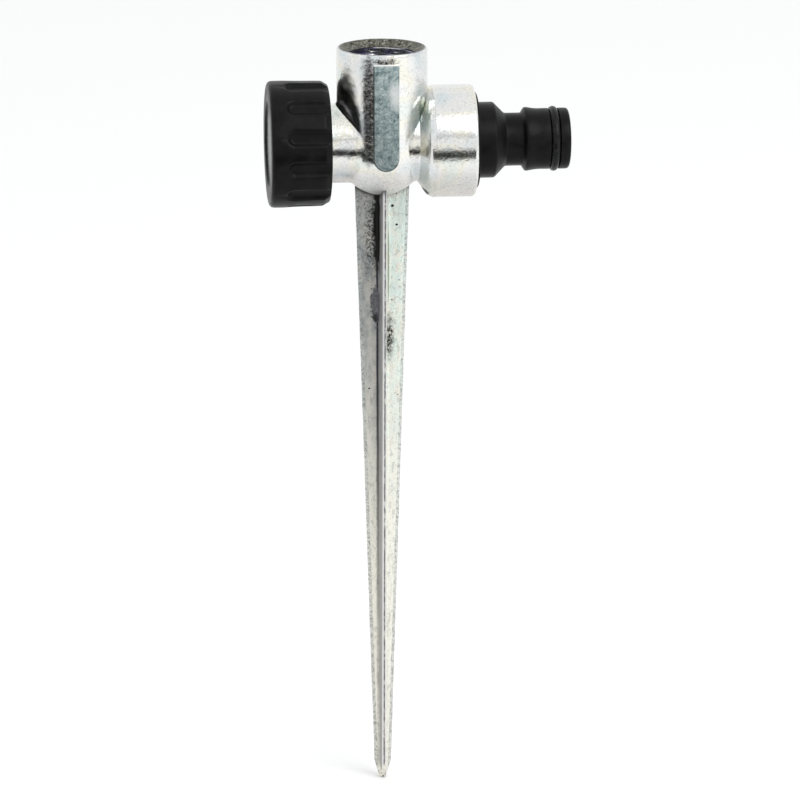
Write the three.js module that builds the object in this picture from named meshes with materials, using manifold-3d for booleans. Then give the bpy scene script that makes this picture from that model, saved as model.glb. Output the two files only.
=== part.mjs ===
// Sprinkler ground spike: a die-cast tee on a cross-finned spike, with a screw cap on its
// outlet and a hose quick-connect adapter screwed into its inlet.
// Millimetres, +Z up. The origin is on the spike's axis at the ground line. +X points along
// the tee's cross run towards the hose adapter, and -Y is the front.
import * as THREE from "three";
import { ConvexGeometry } from "three/addons/geometries/ConvexGeometry.js";
import { mergeVertices } from "three/addons/utils/BufferGeometryUtils.js";
import Module from "manifold-3d";

const wasm = await Module();
wasm.setup();

// ---------------------------------------------------------------- driving dimensions

// Pipe threads with 14 turns to the inch: the large one is on the outlet and in the inlet
// cup, and the small one is in the socket.
const PITCH = 25.4 / 14;
const THREAD_DEPTH = 0.64 * PITCH;
const CREST_HALF_WIDTH = 0.085 * PITCH;
const FLANK_SLOPE = 0.5; // how much wider a ridge's half gets for each millimetre of depth
const LARGE_MAJOR_RADIUS = 13.22;
const SMALL_MAJOR_RADIUS = 10.48;
const THREAD_RADIAL_GAP = 0.25;
const THREAD_AXIAL_GAP = 0.2;
const RIDGE_INSET = 0.6 * PITCH; // how far inside its core's ends a male ridge starts
const GROOVE_OVERRUN = 0.5 * PITCH; // how far a groove runs past the mouth that it opens at
const GROOVE_START = 0.7 * PITCH; // from the bottom of a hole to its groove
const RIDGE_END_HEIGHT = 0.03; // the share of its height that is left where a ridge fades out

// Vertical socket, which takes the sprinkler head.
const RUN_HEIGHT = 22; // the cross run's axis, above the ground line
const SOCKET_HEIGHT = 26.6; // the socket's rim, above the cross run's axis
const SOCKET_WALL = 2.02; // outside the thread
const RIM_ROUND = 0.35;
const RIM_FLAT = 0.6;
const MOUTH_BEVEL_DEPTH = 1.8;
const SOCKET_THREAD_LENGTH = 11.5;
const SOCKET_BORE_RADIUS = 8.6;
const DRILL_POINT_ANGLE = 31; // degrees from flat to the drilled hole's cone
const DOME_DROP = 1.6; // the dome's centre, below the cross run's axis

// Raised pads on the socket's front and back.
const PAD_WIDTH = 7.1;
const PAD_PROUD = 0.6;
const PAD_TOP_GAP = 2.4; // from the rim down to the pad's top

// Cross run.
const RUN_BORE_RADIUS = 8;
const RUN_WALL = 2.95;
const OUTLET_THREAD_LENGTH = 9.6;
const OUTLET_LEAD = 0.7;
const CAP_STANDOFF = 2.4; // from the socket's side to the cap's mouth
const CUP_WALL = 1.98; // outside the thread
const CUP_STANDOFF = 12.8; // from the socket's side to the cup's end
const CUP_DEPTH = 11.7;
const CUP_SHOULDER_LENGTH = 3.4;
const CUP_SHOULDER_BULGE = [[0.5, 0.6], [0.8, 0.9]]; // shares of its length and of its rise
const CUP_BACK_WALL = 1.2; // from the shoulder's end to the bottom of the cup
const CUP_END_ROUND = 1.1;
const CUP_MOUTH_DEPTH = 1;

// Spike: two blades that cross, each thicker at the middle than at its edges.
const SPIKE_DEPTH = 163.5; // the tip, below the ground line
const FIN_SPAN_TOP = 7.5; // half the width of a blade at the dome
const FIN_SPAN_LOW = 2.35; // the same where the point begins
const FIN_ROOT_HALF = 1.2; // half of a blade's thickness at its middle
const FIN_EDGE_HALF = 0.5; // the same at its edges
const POINT_LENGTH = 5.5;
const TIP_SPAN = 0.5;
const TIP_ROUND_LENGTH = 0.9;
const TIP_THINNING = 0.7; // the share of a blade's thickness that is left above the tip
const EDGE_SHARE = 0.6; // the most that an edge keeps of a blade's thickness, near the tip

// Outlet cap.
const CAP_WALL = 3.93; // outside the thread
const CAP_TAPER = 0.25; // how much slimmer the cap is at its mouth
const CAP_LENGTH = 16.6;
const CAP_FLOOR = 2.1;
const CAP_FACE_ROUND = 1.2;
const CAP_RECESS_RADIUS = 11.9;
const CAP_RECESS_DEPTH = 0.7;
const CAP_CHAMFER_LENGTH = 1.8;
const CAP_CHAMFER_DROP = 1.1;
const CAP_LEAD_DEPTH = 1.2;
const CAP_LEAD_GAP = 0.3; // around the outlet's thread, at the mouth
const CAP_GROOVE_SPARE = 0.4 * PITCH; // how far its groove runs past the outlet's end
const FLUTE_COUNT = 12;
const FLUTE_WIDTH = 4.9;
const FLUTE_DEPTH = 1;
const FLUTE_LENGTH = 12.4;
const FLUTE_STEPS = 8;
const FLUTE_TURN = 17; // degrees from the front up to the first flute

// Rubber washers: one in the cap, and one at the bottom of the cup.
const WASHER_THICKNESS = 2;
const WASHER_BORE_GAP = 0.4; // its hole is this much bigger than the run's bore
const WASHER_RIM_GAP = 0.45; // its rim is this much inside the thread
const SEAT_GAP = 0.1;

// Hose adapter, from its flange outwards.
const FLANGE_PROUD = 0.75; // past the cup's end
const FLANGE_THICKNESS = 1.2;
const FLANGE_GAP = 0.3;
const COLLAR_RADIUS = 10.45;
const COLLAR_LENGTH = 4.65;
const COLLAR_CONE_LENGTH = 3.1;
const NECK_RADIUS = 7.3;
const NECK_LENGTH = 4.6;
const LIP_CONE_LENGTH = 1;
const LIP_RADIUS = 8.8;
const LIP_LENGTH = 0.8;
const BARREL_RADIUS = 8.42;
const BARREL_TAPER_LENGTH = 2.2;
const BARREL_LENGTH = 5.8;
const NOSE_LENGTH = 2.85;
const NOSE_ROUND = 0.8;
const SPIGOT_BORE_RADIUS = 4.8;
const INLET_BORE_RADIUS = 9;
const INLET_CONE_LENGTH = 4;
const O_RING_SECTION_RADIUS = 1.2;
const O_RING_PROUD = 0.55; // past the barrel
const GROOVE_FLOOR_GAP = 0.1;
const GROOVE_SIDE_GAP = 0.15;

// Facets, and how cutters and buried ends are placed.
const ROUND_STEPS = 40;
const THREAD_STEPS = 20; // to a turn, and a divisor of the one above
const CORNER_STEPS = 3;
const DOME_STEPS = 8;
const RING_STEPS = 12;
const OVERCUT = 1; // how far a cutter runs past the face that it opens
const SINK = 0.1; // how far a thread's ridge is sunk into what carries it

// ---------------------------------------------------------------- places worked out

const SOCKET_RADIUS = SMALL_MAJOR_RADIUS + SOCKET_WALL;
const RIM_Z = RUN_HEIGHT + SOCKET_HEIGHT;
const MOUTH_RADIUS = SOCKET_RADIUS - RIM_ROUND - RIM_FLAT;
const DOME_Z = RUN_HEIGHT - DOME_DROP;
const RUN_RADIUS = RUN_BORE_RADIUS + RUN_WALL;

const LARGE_ROOT_RADIUS = LARGE_MAJOR_RADIUS - THREAD_DEPTH;
const LARGE_HOLE_RADIUS = LARGE_ROOT_RADIUS + THREAD_RADIAL_GAP;
const LARGE_GROOVE_RADIUS = LARGE_MAJOR_RADIUS + THREAD_RADIAL_GAP;

const CAP_MOUTH_X = -(SOCKET_RADIUS + CAP_STANDOFF);
const CAP_FACE_X = CAP_MOUTH_X - CAP_LENGTH;
const CAP_FLOOR_X = CAP_FACE_X + CAP_RECESS_DEPTH + CAP_FLOOR;
const OUTLET_END_X = CAP_FLOOR_X + WASHER_THICKNESS + 2 * SEAT_GAP;

const CUP_RADIUS = LARGE_GROOVE_RADIUS + CUP_WALL;
const CUP_END_X = SOCKET_RADIUS + CUP_STANDOFF;
const CUP_FLOOR_X = CUP_END_X - CUP_DEPTH;
const CUP_MOUTH_X = CUP_END_X - CUP_MOUTH_DEPTH;
const CUP_MOUTH_RADIUS = LARGE_MAJOR_RADIUS + FLANGE_GAP;

const ADAPTER_START_X = CUP_FLOOR_X + WASHER_THICKNESS + 2 * SEAT_GAP;
const FLANGE_END_X = CUP_END_X + FLANGE_PROUD;
const COLLAR_END_X = FLANGE_END_X + COLLAR_LENGTH;
const NECK_START_X = COLLAR_END_X + COLLAR_CONE_LENGTH;
const NECK_END_X = NECK_START_X + NECK_LENGTH;
const LIP_START_X = NECK_END_X + LIP_CONE_LENGTH;
const LIP_END_X = LIP_START_X + LIP_LENGTH;
const GROOVE_START_X = LIP_END_X + BARREL_LENGTH;
const GROOVE_END_X = GROOVE_START_X + 2 * (O_RING_SECTION_RADIUS + GROOVE_SIDE_GAP);
const ADAPTER_END_X = GROOVE_END_X + NOSE_LENGTH;
const O_RING_X = (GROOVE_START_X + GROOVE_END_X) / 2;
const O_RING_RADIUS = BARREL_RADIUS + O_RING_PROUD - O_RING_SECTION_RADIUS;
const GROOVE_RADIUS = O_RING_RADIUS - O_RING_SECTION_RADIUS - GROOVE_FLOOR_GAP;

// ---------------------------------------------------------------- solids

// A closed geometry as a solid, with its shared corners joined.
function solidOf(geometry) {
  const bare = geometry.clone();
  bare.deleteAttribute("normal");
  bare.deleteAttribute("uv");
  const joined = mergeVertices(bare, 1e-4);
  const corners = Array.from(joined.index.array);
  const triangles = corners.filter((_, i) => {
    const [a, b, c] = corners.slice(i - (i % 3), i - (i % 3) + 3);
    return a !== b && b !== c && c !== a;
  });
  return new wasm.Manifold(
    new wasm.Mesh({
      numProp: 3,
      vertProperties: new Float32Array(joined.attributes.position.array),
      triVerts: new Uint32Array(triangles),
    }),
  );
}

function meshOf(name, solid, finish) {
  const { vertProperties, triVerts } = solid.getMesh();
  const joined = new THREE.BufferGeometry();
  joined.setAttribute("position", new THREE.BufferAttribute(vertProperties, 3));
  joined.setIndex(new THREE.BufferAttribute(triVerts, 1));
  const geometry = joined.toNonIndexed();
  geometry.computeVertexNormals();
  const mesh = new THREE.Mesh(geometry, new THREE.MeshStandardMaterial(finish));
  mesh.name = name;
  return mesh;
}

// A solid of revolution about the X axis or the Z axis. Each point of the outline is
// [place along the axis, radius].
function turned(outline, axis) {
  const points = outline.map(([along, radius]) => new THREE.Vector2(radius, along));
  const geometry = new THREE.LatheGeometry(points, ROUND_STEPS);
  return solidOf(axis === "x" ? geometry.rotateZ(-Math.PI / 2) : geometry.rotateX(Math.PI / 2));
}

// Points along an arc of an outline, with its angles in degrees from the axis's direction.
function arc([along, radius], size, from, to, steps = CORNER_STEPS) {
  return Array.from({ length: steps + 1 }, (_, i) => {
    const angle = THREE.MathUtils.degToRad(from + ((to - from) * i) / steps);
    return [along + size * Math.cos(angle), radius + size * Math.sin(angle)];
  });
}

// A right-hand thread's ridge about the X axis, between two places on it. Its corners lie
// over the corners of the round faces. Each end that is not open fades into the core over a
// quarter turn. A groove's sections are bigger than the ridge that runs in it, by `widen` on
// each flank and `rise` at the crest.
function threadRidge({ major, from, to, openEnd = false, widen = 0, rise = 0 }) {
  const crest = major + rise;
  const base = crest - THREAD_DEPTH - SINK;
  const crestHalf = CREST_HALF_WIDTH + widen - rise * FLANK_SLOPE;
  const baseHalf = crestHalf + (crest - base) * FLANK_SLOPE;
  const section = new THREE.Shape([
    new THREE.Vector2(base, -baseHalf),
    new THREE.Vector2(crest, -crestHalf),
    new THREE.Vector2(crest, crestHalf),
    new THREE.Vector2(base, baseHalf),
  ]);
  const advance = PITCH / THREAD_STEPS;
  const firstStep = Math.ceil(from / advance);
  const steps = Math.floor(to / advance) - firstStep;
  const geometry = new THREE.ExtrudeGeometry(section, { depth: steps, steps, bevelEnabled: false });
  const corner = geometry.attributes.position;
  const fadeSteps = THREAD_STEPS / 4;
  for (let i = 0; i < corner.count; i++) {
    const step = Math.round(corner.getZ(i));
    const toEnd = openEnd ? fadeSteps : steps - step;
    const height = Math.min(1, RIDGE_END_HEIGHT + Math.min(step, toEnd) / fadeSteps);
    const radius = base + (corner.getX(i) - base) * height;
    const along = (firstStep + step) * advance;
    const angle = ((firstStep + step) / THREAD_STEPS) * 2 * Math.PI;
    corner.setXYZ(i, along - corner.getY(i), radius * Math.cos(angle), radius * Math.sin(angle));
  }
  return solidOf(geometry);
}

const threadGroove = (thread) =>
  threadRidge({ ...thread, widen: THREAD_AXIAL_GAP, rise: THREAD_RADIAL_GAP });

// ---------------------------------------------------------------- spike casting

// The socket's outside, closed below by the dome.
function socketBody() {
  const dome = arc([DOME_Z, 0], SOCKET_RADIUS, 180, 90, DOME_STEPS);
  const rim = arc([RIM_Z - RIM_ROUND, SOCKET_RADIUS - RIM_ROUND], RIM_ROUND, 90, 0);
  return turned([...dome, ...rim, [RIM_Z, 0]], "z");
}

// One slab through the socket makes both pads: flat, with a round lower end.
function padSlab() {
  const half = PAD_WIDTH / 2;
  const outline = new THREE.Shape();
  outline.moveTo(half, DOME_Z);
  outline.lineTo(half, RIM_Z - PAD_TOP_GAP);
  outline.lineTo(-half, RIM_Z - PAD_TOP_GAP);
  outline.lineTo(-half, DOME_Z);
  outline.absarc(0, DOME_Z, half, Math.PI, 2 * Math.PI, false);
  const depth = 2 * (SOCKET_RADIUS + PAD_PROUD);
  const slab = new THREE.ExtrudeGeometry(outline, { depth, bevelEnabled: false });
  return solidOf(slab.rotateX(Math.PI / 2).translate(0, depth / 2, 0));
}

// The cross run's outside: the outlet's thread, the tube and the inlet cup.
function crossRunBody() {
  const threadEnd = OUTLET_END_X + OUTLET_THREAD_LENGTH;
  const shoulderEnd = CUP_FLOOR_X - CUP_BACK_WALL;
  const shoulderStart = shoulderEnd - CUP_SHOULDER_LENGTH;
  const bulge = CUP_SHOULDER_BULGE.map(([length, rise]) => [
    shoulderStart + CUP_SHOULDER_LENGTH * length,
    RUN_RADIUS + (CUP_RADIUS - RUN_RADIUS) * rise,
  ]);
  const core = turned(
    [
      [OUTLET_END_X, 0],
      [OUTLET_END_X, LARGE_ROOT_RADIUS - OUTLET_LEAD],
      [OUTLET_END_X + OUTLET_LEAD, LARGE_ROOT_RADIUS],
      [threadEnd, LARGE_ROOT_RADIUS],
      [threadEnd + Math.abs(LARGE_ROOT_RADIUS - RUN_RADIUS), RUN_RADIUS],
      [shoulderStart, RUN_RADIUS],
      ...bulge,
      [shoulderEnd, CUP_RADIUS],
      ...arc([CUP_END_X - CUP_END_ROUND, CUP_RADIUS - CUP_END_ROUND], CUP_END_ROUND, 90, 0),
      [CUP_END_X, 0],
    ],
    "x",
  );
  const ridge = threadRidge({
    major: LARGE_MAJOR_RADIUS,
    from: OUTLET_END_X + RIDGE_INSET,
    to: threadEnd - RIDGE_INSET,
  });
  return core.add(ridge);
}

// One of the spike's two blades, wide along X, tapered down to the point.
function blade() {
  const domeFoot = DOME_Z - Math.sqrt(SOCKET_RADIUS ** 2 - FIN_SPAN_TOP ** 2);
  const pointTop = -SPIKE_DEPTH + POINT_LENGTH;
  const taper = (FIN_SPAN_TOP - FIN_SPAN_LOW) / (domeFoot - pointTop);
  const stations = [
    { z: DOME_Z, span: FIN_SPAN_TOP + taper * (DOME_Z - domeFoot), half: FIN_ROOT_HALF },
    { z: pointTop, span: FIN_SPAN_LOW, half: FIN_ROOT_HALF },
    { z: -SPIKE_DEPTH + TIP_ROUND_LENGTH, span: 2 * TIP_SPAN, half: FIN_ROOT_HALF * TIP_THINNING },
    { z: -SPIKE_DEPTH, span: TIP_SPAN, half: TIP_SPAN },
  ];
  const corners = stations.flatMap(({ z, span, half }) => {
    const edge = Math.min(FIN_EDGE_HALF, half * EDGE_SHARE);
    return [-1, 1].flatMap((side) => [
      new THREE.Vector3(-span, side * edge, z),
      new THREE.Vector3(0, side * half, z),
      new THREE.Vector3(span, side * edge, z),
    ]);
  });
  return solidOf(new ConvexGeometry(corners));
}

// The cross bore and the inlet cup's threaded hole.
function runWaterway() {
  const bore = turned(
    [
      [OUTLET_END_X - OVERCUT, 0],
      [OUTLET_END_X - OVERCUT, RUN_BORE_RADIUS],
      [CUP_FLOOR_X, RUN_BORE_RADIUS],
      [CUP_FLOOR_X, LARGE_HOLE_RADIUS],
      [CUP_MOUTH_X - (CUP_MOUTH_RADIUS - LARGE_HOLE_RADIUS) / 2, LARGE_HOLE_RADIUS],
      [CUP_MOUTH_X, CUP_MOUTH_RADIUS],
      [CUP_END_X + OVERCUT, CUP_MOUTH_RADIUS],
      [CUP_END_X + OVERCUT, 0],
    ],
    "x",
  );
  const groove = threadGroove({
    major: LARGE_MAJOR_RADIUS,
    from: CUP_FLOOR_X + GROOVE_START,
    to: CUP_MOUTH_X + GROOVE_OVERRUN,
    openEnd: true,
  });
  return bore.add(groove);
}

// The socket's threaded hole, drilled on into the cross bore.
function socketWaterway() {
  const bevelZ = RIM_Z - MOUTH_BEVEL_DEPTH;
  const threadFootZ = bevelZ - SOCKET_THREAD_LENGTH;
  const holeRadius = SMALL_MAJOR_RADIUS - THREAD_DEPTH;
  const drillTip = SOCKET_BORE_RADIUS * Math.tan(THREE.MathUtils.degToRad(DRILL_POINT_ANGLE));
  const bore = turned(
    [
      [RUN_HEIGHT - drillTip, 0],
      [RUN_HEIGHT, SOCKET_BORE_RADIUS],
      [threadFootZ, SOCKET_BORE_RADIUS],
      [threadFootZ + (holeRadius - SOCKET_BORE_RADIUS), holeRadius],
      [bevelZ, holeRadius],
      [RIM_Z, MOUTH_RADIUS],
      [RIM_Z + OVERCUT, MOUTH_RADIUS],
      [RIM_Z + OVERCUT, 0],
    ],
    "z",
  );
  const groove = threadRidge({
    major: SMALL_MAJOR_RADIUS,
    from: threadFootZ + PITCH,
    to: bevelZ + GROOVE_OVERRUN,
    openEnd: true,
  });
  return bore.add(groove.rotate([0, -90, 0]));
}

// Tee, cup and spike are one casting.
function spikeCasting() {
  const atRunHeight = (solid) => solid.translate([0, 0, RUN_HEIGHT]);
  return socketBody()
    .add(padSlab())
    .add(blade())
    .add(blade().rotate([0, 0, 90]))
    .add(atRunHeight(crossRunBody()))
    .subtract(atRunHeight(runWaterway()))
    .subtract(socketWaterway());
}

// ---------------------------------------------------------------- pieces on the cross run
// These are made about the X axis, and their group lifts them to the run's height.

// A flute's cutter, from its floor outwards: a slot with one round end, open at the mouth.
function flute(turn) {
  const half = FLUTE_WIDTH / 2;
  const roundX = CAP_MOUTH_X - FLUTE_LENGTH + half;
  const outline = new THREE.Shape();
  outline.moveTo(CAP_MOUTH_X + OVERCUT, -half);
  outline.lineTo(CAP_MOUTH_X + OVERCUT, half);
  outline.lineTo(roundX, half);
  outline.absarc(roundX, 0, half, Math.PI / 2, 1.5 * Math.PI, false);
  const slot = new THREE.ExtrudeGeometry(outline, {
    depth: FLUTE_DEPTH + OVERCUT,
    bevelEnabled: false,
    curveSegments: FLUTE_STEPS,
  });
  slot.translate(0, 0, LARGE_GROOVE_RADIUS + CAP_WALL - FLUTE_DEPTH);
  return solidOf(slot).rotate([90 - turn, 0, 0]);
}

function outletCap() {
  const radius = LARGE_GROOVE_RADIUS + CAP_WALL;
  const leadRadius = Math.max(LARGE_GROOVE_RADIUS, RUN_RADIUS) + CAP_LEAD_GAP;
  const leadX = CAP_MOUTH_X - CAP_LEAD_DEPTH;
  const shell = turned(
    [
      [CAP_FACE_X + CAP_RECESS_DEPTH, 0],
      [CAP_FACE_X + CAP_RECESS_DEPTH, CAP_RECESS_RADIUS - CAP_RECESS_DEPTH],
      [CAP_FACE_X, CAP_RECESS_RADIUS],
      ...arc([CAP_FACE_X + CAP_FACE_ROUND, radius - CAP_FACE_ROUND], CAP_FACE_ROUND, 180, 90),
      [CAP_MOUTH_X - CAP_CHAMFER_LENGTH, radius - CAP_TAPER],
      [CAP_MOUTH_X, radius - CAP_TAPER - CAP_CHAMFER_DROP],
      [CAP_MOUTH_X, leadRadius],
      [leadX, leadRadius],
      [leadX - (leadRadius - LARGE_HOLE_RADIUS) / 2, LARGE_HOLE_RADIUS],
      [CAP_FLOOR_X, LARGE_HOLE_RADIUS],
      [CAP_FLOOR_X, 0],
    ],
    "x",
  );
  const groove = threadGroove({
    major: LARGE_MAJOR_RADIUS,
    from: OUTLET_END_X - CAP_GROOVE_SPARE,
    to: leadX + GROOVE_OVERRUN,
    openEnd: true,
  });
  const flutes = Array.from({ length: FLUTE_COUNT }, (_, i) => flute(FLUTE_TURN + (360 * i) / FLUTE_COUNT));
  return flutes.reduce((cap, cutter) => cap.subtract(cutter), shell.subtract(groove));
}

// A flat ring, from its start along X.
function washer(startX) {
  const outer = LARGE_HOLE_RADIUS - WASHER_RIM_GAP;
  const inner = RUN_BORE_RADIUS + WASHER_BORE_GAP;
  const endX = startX + WASHER_THICKNESS;
  return turned([[startX, inner], [startX, outer], [endX, outer], [endX, inner], [startX, inner]], "x");
}

function inletAdapter() {
  const flangeStartX = FLANGE_END_X - FLANGE_THICKNESS;
  const body = turned(
    [
      [ADAPTER_START_X, INLET_BORE_RADIUS],
      [ADAPTER_START_X, LARGE_ROOT_RADIUS - SINK],
      [ADAPTER_START_X + SINK, LARGE_ROOT_RADIUS],
      [flangeStartX, LARGE_ROOT_RADIUS],
      [flangeStartX, LARGE_MAJOR_RADIUS],
      [FLANGE_END_X, LARGE_MAJOR_RADIUS],
      [FLANGE_END_X, COLLAR_RADIUS],
      [COLLAR_END_X, COLLAR_RADIUS],
      [NECK_START_X, NECK_RADIUS],
      [NECK_END_X, NECK_RADIUS],
      [LIP_START_X, LIP_RADIUS],
      [LIP_END_X, LIP_RADIUS],
      [LIP_END_X + BARREL_TAPER_LENGTH, BARREL_RADIUS],
      [GROOVE_START_X, BARREL_RADIUS],
      [GROOVE_START_X, GROOVE_RADIUS],
      [GROOVE_END_X, GROOVE_RADIUS],
      [GROOVE_END_X, BARREL_RADIUS],
      ...arc([ADAPTER_END_X - NOSE_ROUND, BARREL_RADIUS - NOSE_ROUND], NOSE_ROUND, 90, 0),
      [ADAPTER_END_X, SPIGOT_BORE_RADIUS],
      [NECK_START_X, SPIGOT_BORE_RADIUS],
      [NECK_START_X - INLET_CONE_LENGTH, INLET_BORE_RADIUS - (COLLAR_RADIUS - NECK_RADIUS)],
      [COLLAR_END_X - INLET_CONE_LENGTH, INLET_BORE_RADIUS],
      [ADAPTER_START_X, INLET_BORE_RADIUS],
    ],
    "x",
  );
  const ridge = threadRidge({
    major: LARGE_MAJOR_RADIUS,
    from: ADAPTER_START_X + RIDGE_INSET,
    to: flangeStartX - RIDGE_INSET,
  });
  return body.add(ridge);
}

function oRing() {
  return turned(arc([O_RING_X, O_RING_RADIUS], O_RING_SECTION_RADIUS, 180, -180, RING_STEPS), "x");
}

// ---------------------------------------------------------------- assembly

const ZINC = { color: 0xc9ccc8, roughness: 0.32, metalness: 1 };
const BLACK_PLASTIC = { color: 0x1c1c1d, roughness: 0.5, metalness: 0 };
const RUBBER = { color: 0x141415, roughness: 0.75, metalness: 0 };

const crossRun = new THREE.Group();
crossRun.position.z = RUN_HEIGHT;
crossRun.add(
  meshOf("outlet_cap", outletCap(), BLACK_PLASTIC),
  meshOf("outlet_cap_washer", washer(CAP_FLOOR_X + SEAT_GAP), RUBBER),
  meshOf("inlet_washer", washer(CUP_FLOOR_X + SEAT_GAP), RUBBER),
  meshOf("inlet_adapter", inletAdapter(), BLACK_PLASTIC),
  meshOf("inlet_adapter_o_ring", oRing(), RUBBER),
);

const group = new THREE.Group();
group.add(meshOf("spike_casting", spikeCasting(), ZINC), crossRun);

export default group;
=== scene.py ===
"""Looks for a sprinkler ground spike: a bright zinc casting on a cross-finned spike, with a
fluted black screw cap on its outlet and a black hose spigot screwed into its inlet.

Shapes are made in millimetres in the CAD frame, and scaled to metres as they are finished.
"""

from math import atan2, cos, hypot, pi, radians, sin, tan, tau

import bmesh
import bpy
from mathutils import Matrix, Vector, noise


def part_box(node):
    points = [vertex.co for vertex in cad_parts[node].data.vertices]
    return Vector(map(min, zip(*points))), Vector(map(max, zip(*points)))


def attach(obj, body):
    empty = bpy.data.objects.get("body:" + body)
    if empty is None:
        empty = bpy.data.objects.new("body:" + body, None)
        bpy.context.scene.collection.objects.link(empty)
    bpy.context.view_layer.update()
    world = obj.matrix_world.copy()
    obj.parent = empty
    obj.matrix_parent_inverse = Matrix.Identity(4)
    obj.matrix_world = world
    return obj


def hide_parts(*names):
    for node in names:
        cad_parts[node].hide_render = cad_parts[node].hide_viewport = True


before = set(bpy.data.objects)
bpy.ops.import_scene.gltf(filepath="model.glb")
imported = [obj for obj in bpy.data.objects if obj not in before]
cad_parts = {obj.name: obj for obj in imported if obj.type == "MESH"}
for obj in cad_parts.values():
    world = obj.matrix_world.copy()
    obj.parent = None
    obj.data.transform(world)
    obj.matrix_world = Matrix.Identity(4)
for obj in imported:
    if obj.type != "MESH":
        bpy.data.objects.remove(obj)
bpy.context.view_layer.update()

# ------------------------------------------------------------------ sizes from the frame

MM = 0.001


def box_mm(node):
    low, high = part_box(node)
    return low / MM, high / MM


CASTING_LOW, CASTING_HIGH = box_mm("spike_casting")
CAP_LOW, CAP_HIGH = box_mm("outlet_cap")
ADAPTER_LOW, ADAPTER_HIGH = box_mm("inlet_adapter")
O_RING_LOW, O_RING_HIGH = box_mm("inlet_adapter_o_ring")
CAP_WASHER_LOW, CAP_WASHER_HIGH = box_mm("outlet_cap_washer")
INLET_WASHER_LOW, INLET_WASHER_HIGH = box_mm("inlet_washer")

RUN_Z = (CAP_LOW.z + CAP_HIGH.z) / 2
RIM_Z = CASTING_HIGH.z
TIP_Z = CASTING_LOW.z
OUTLET_END_X = CASTING_LOW.x
CUP_END_X = CASTING_HIGH.x
CUP_RADIUS = CASTING_HIGH.y
CAP_RADIUS = CAP_HIGH.y

# ------------------------------------------------------------------ sizes of the details

PITCH = 25.4 / 14
THREAD_DEPTH = 0.64 * PITCH
LARGE_CREST_RADIUS = ADAPTER_HIGH.y
LARGE_ROOT_RADIUS = LARGE_CREST_RADIUS - THREAD_DEPTH
THREAD_GAP = 0.25
SEAT_GAP = 0.1
SOCKET_RADIUS = 12.5
SOCKET_ROOT_RADIUS = 10.48 - THREAD_DEPTH
DOME_Z = RUN_Z - 1.6
DOME_BULGE = 0.5
RUN_RADIUS = 10.95
RUN_BORE_RADIUS = 8.0
PAD_WIDTH = 7.1
PAD_FRONT = SOCKET_RADIUS + 0.62
PAD_TOP_Z = RIM_Z - 2.4
PAD_FOOT_Z = DOME_Z - 0.4
CUP_FLOOR_X = INLET_WASHER_LOW.x - SEAT_GAP
OUTLET_THREAD_END_X = OUTLET_END_X + 9.6
FIN_SPAN = 7.6
FIN_FOOT_SPAN = 2.35
SPIKE_TOP_Z = 12.0
POINT_Z = TIP_Z + 5.5

ROOT_HALF = 1.1
ROOT_FILLET = 1.5

ROUND_STEPS = 160
PLAIN_STEPS = 128
CAP_STEPS = 360
THREAD_ROW = PITCH / 10
VOXEL = 0.34
FIN_ROWS = 190

POLISHED, PAD, SPIKE, TURNED, MOUTH = range(5)


# ------------------------------------------------------------------ outlines

def softened(corners, steps=4):
    """An outline with its corners rounded. Each corner is (along, radius) or
    (along, radius, size), where size is how far the rounding reaches along each side."""
    points = []
    for i, corner in enumerate(corners):
        here = Vector(corner[:2])
        size = corner[2] if len(corner) > 2 else 0
        if not size:
            points.append(here)
            continue
        back = (Vector(corners[i - 1][:2]) - here)
        ahead = (Vector(corners[(i + 1) % len(corners)][:2]) - here)
        first = here + back.normalized() * min(size, back.length * 0.49)
        last = here + ahead.normalized() * min(size, ahead.length * 0.49)
        for k in range(steps + 1):
            t = k / steps
            points.append(first.lerp(here, t).lerp(here.lerp(last, t), t))
    return points


def stretched(points, start, end, spacing):
    """The same outline, with points no further apart than spacing between two places along
    the axis, so that a thread or a flute can be pressed into that stretch."""
    dense = [points[0]]
    for a, b in zip(points, points[1:]):
        inside = min(a.x, b.x) >= start - 1e-3 and max(a.x, b.x) <= end + 1e-3
        count = max(1, round((b - a).length / spacing)) if inside else 1
        dense += [a.lerp(b, k / count) for k in range(1, count + 1)]
    return dense


def arc(centre, radius, start, end, steps):
    """Points of an arc in an outline, with its angles in degrees."""
    angles = [radians(start + (end - start) * k / steps) for k in range(steps + 1)]
    return [(centre[0] + radius * cos(a), centre[1] + radius * sin(a)) for a in angles]


# ------------------------------------------------------------------ mesh tools

def turned(outline, axis, steps=ROUND_STEPS, closed=False):
    """A solid of revolution about the cross run's axis ("x") or the socket's axis ("z")."""
    bm = bmesh.new()
    if axis == "x":
        places = [Vector((along, radius, RUN_Z)) for along, radius in outline]
        centre, direction = (0, 0, RUN_Z), (1, 0, 0)
    else:
        places = [Vector((radius, 0, along)) for along, radius in outline]
        centre, direction = (0, 0, 0), (0, 0, 1)
    verts = [bm.verts.new(place) for place in places]
    pairs = list(zip(verts, verts[1:])) + ([(verts[-1], verts[0])] if closed else [])
    edges = [bm.edges.new(pair) for pair in pairs]
    bmesh.ops.spin(bm, geom=verts + edges, cent=centre, axis=direction, dvec=(0, 0, 0),
                   angle=tau, steps=steps, use_merge=True, use_duplicate=False)
    bmesh.ops.remove_doubles(bm, verts=bm.verts, dist=1e-4)
    bmesh.ops.recalc_face_normals(bm, faces=bm.faces)
    return bm


def smoothstep(low, high, value):
    t = min(1.0, max(0.0, (value - low) / (high - low)))
    return t * t * (3 - 2 * t)


def about(axis, place):
    """A point's place along an axis, its distance from it, and its turn about it in turns."""
    if axis == "x":
        return place.x, hypot(place.y, place.z - RUN_Z), atan2(place.z - RUN_Z, place.y) / tau
    return place.z, hypot(place.x, place.y), atan2(-place.x, place.y) / tau


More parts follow.
